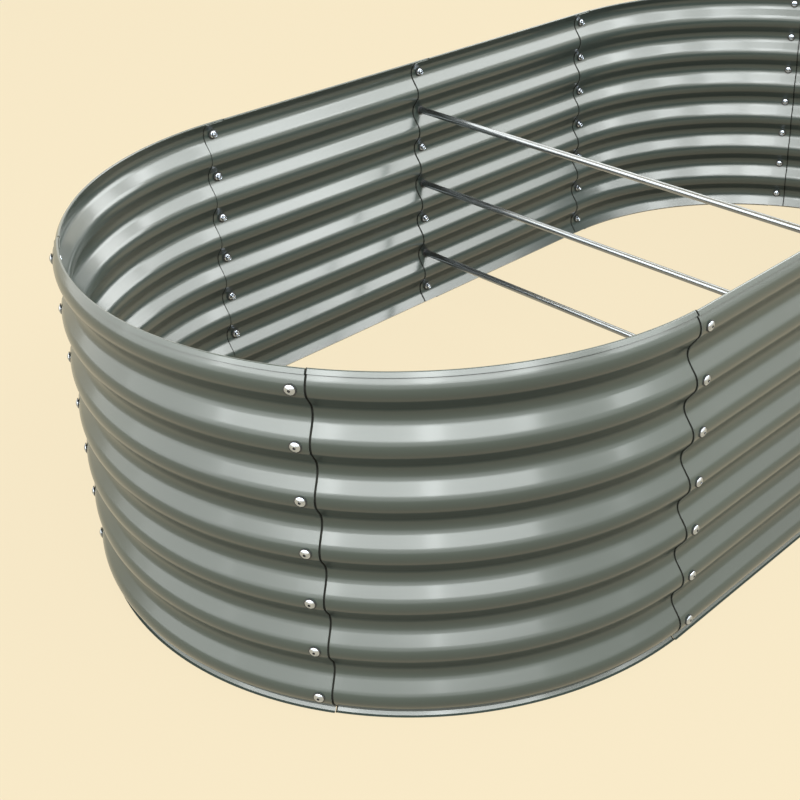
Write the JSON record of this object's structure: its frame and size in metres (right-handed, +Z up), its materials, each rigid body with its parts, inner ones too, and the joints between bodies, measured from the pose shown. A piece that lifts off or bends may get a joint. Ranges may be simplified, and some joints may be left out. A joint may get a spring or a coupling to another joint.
{
  "type": "raised garden bed",
  "caption": "Open-bottomed oblong planter with round ends, bolted together from curved and straight corrugated steel panels and braced across its middle by tie rods.",
  "frame": {"origin": "on the ground, in the middle of the bed", "axes": "+X along the bed towards its right round end, +Y towards its far long side, +Z up"},
  "size_m": [2.3616, 1.2306, 0.61],
  "materials": {
    "coated_sheet": "satin",
    "bright_rod": "polished",
    "bright_fastener": "polished",
    "dark_washer": "matte"
  },
  "bodies": {
    "root": {"left_end_far_panel": "coated_sheet", "left_end_middle_panel": "coated_sheet", "left_end_near_panel": "coated_sheet", "right_end_far_panel": "coated_sheet", "right_end_middle_panel": "coated_sheet", "right_end_near_panel": "coated_sheet", "far_left_side_panel": "coated_sheet", "far_right_side_panel": "coated_sheet", "near_left_side_panel": "coated_sheet", "near_right_side_panel": "coated_sheet", "upper_tie_rod": "bright_rod", "middle_tie_rod": "bright_rod", "lower_tie_rod": "bright_rod", "far_mid_bolts": "bright_fastener", "far_left_bolts": "bright_fastener", "left_far_bolts": "bright_fastener", "left_near_bolts": "bright_fastener", "near_left_bolts": "bright_fastener", "near_mid_bolts": "bright_fastener", "near_right_bolts": "bright_fastener", "right_near_bolts": "bright_fastener", "right_far_bolts": "bright_fastener", "far_right_bolts": "bright_fastener", "far_mid_outer_washers": "dark_washer", "far_left_outer_washers": "dark_washer", "left_far_outer_washers": "dark_washer", "left_near_outer_washers": "dark_washer", "near_left_outer_washers": "dark_washer", "near_mid_outer_washers": "dark_washer", "near_right_outer_washers": "dark_washer", "right_near_outer_washers": "dark_washer", "right_far_outer_washers": "dark_washer", "far_right_outer_washers": "dark_washer", "far_mid_inner_washers": "dark_washer", "far_left_inner_washers": "dark_washer", "left_far_inner_washers": "dark_washer", "left_near_inner_washers": "dark_washer", "near_left_inner_washers": "dark_washer", "near_mid_inner_washers": "dark_washer", "near_right_inner_washers": "dark_washer", "right_near_inner_washers": "dark_washer", "right_far_inner_washers": "dark_washer", "far_right_inner_washers": "dark_washer", "far_mid_nuts": "bright_fastener", "far_left_nuts": "bright_fastener", "left_far_nuts": "bright_fastener", "left_near_nuts": "bright_fastener", "near_left_nuts": "bright_fastener", "near_mid_nuts": "bright_fastener", "near_right_nuts": "bright_fastener", "right_near_nuts": "bright_fastener", "right_far_nuts": "bright_fastener", "far_right_nuts": "bright_fastener"}
  },
  "joints": []
}
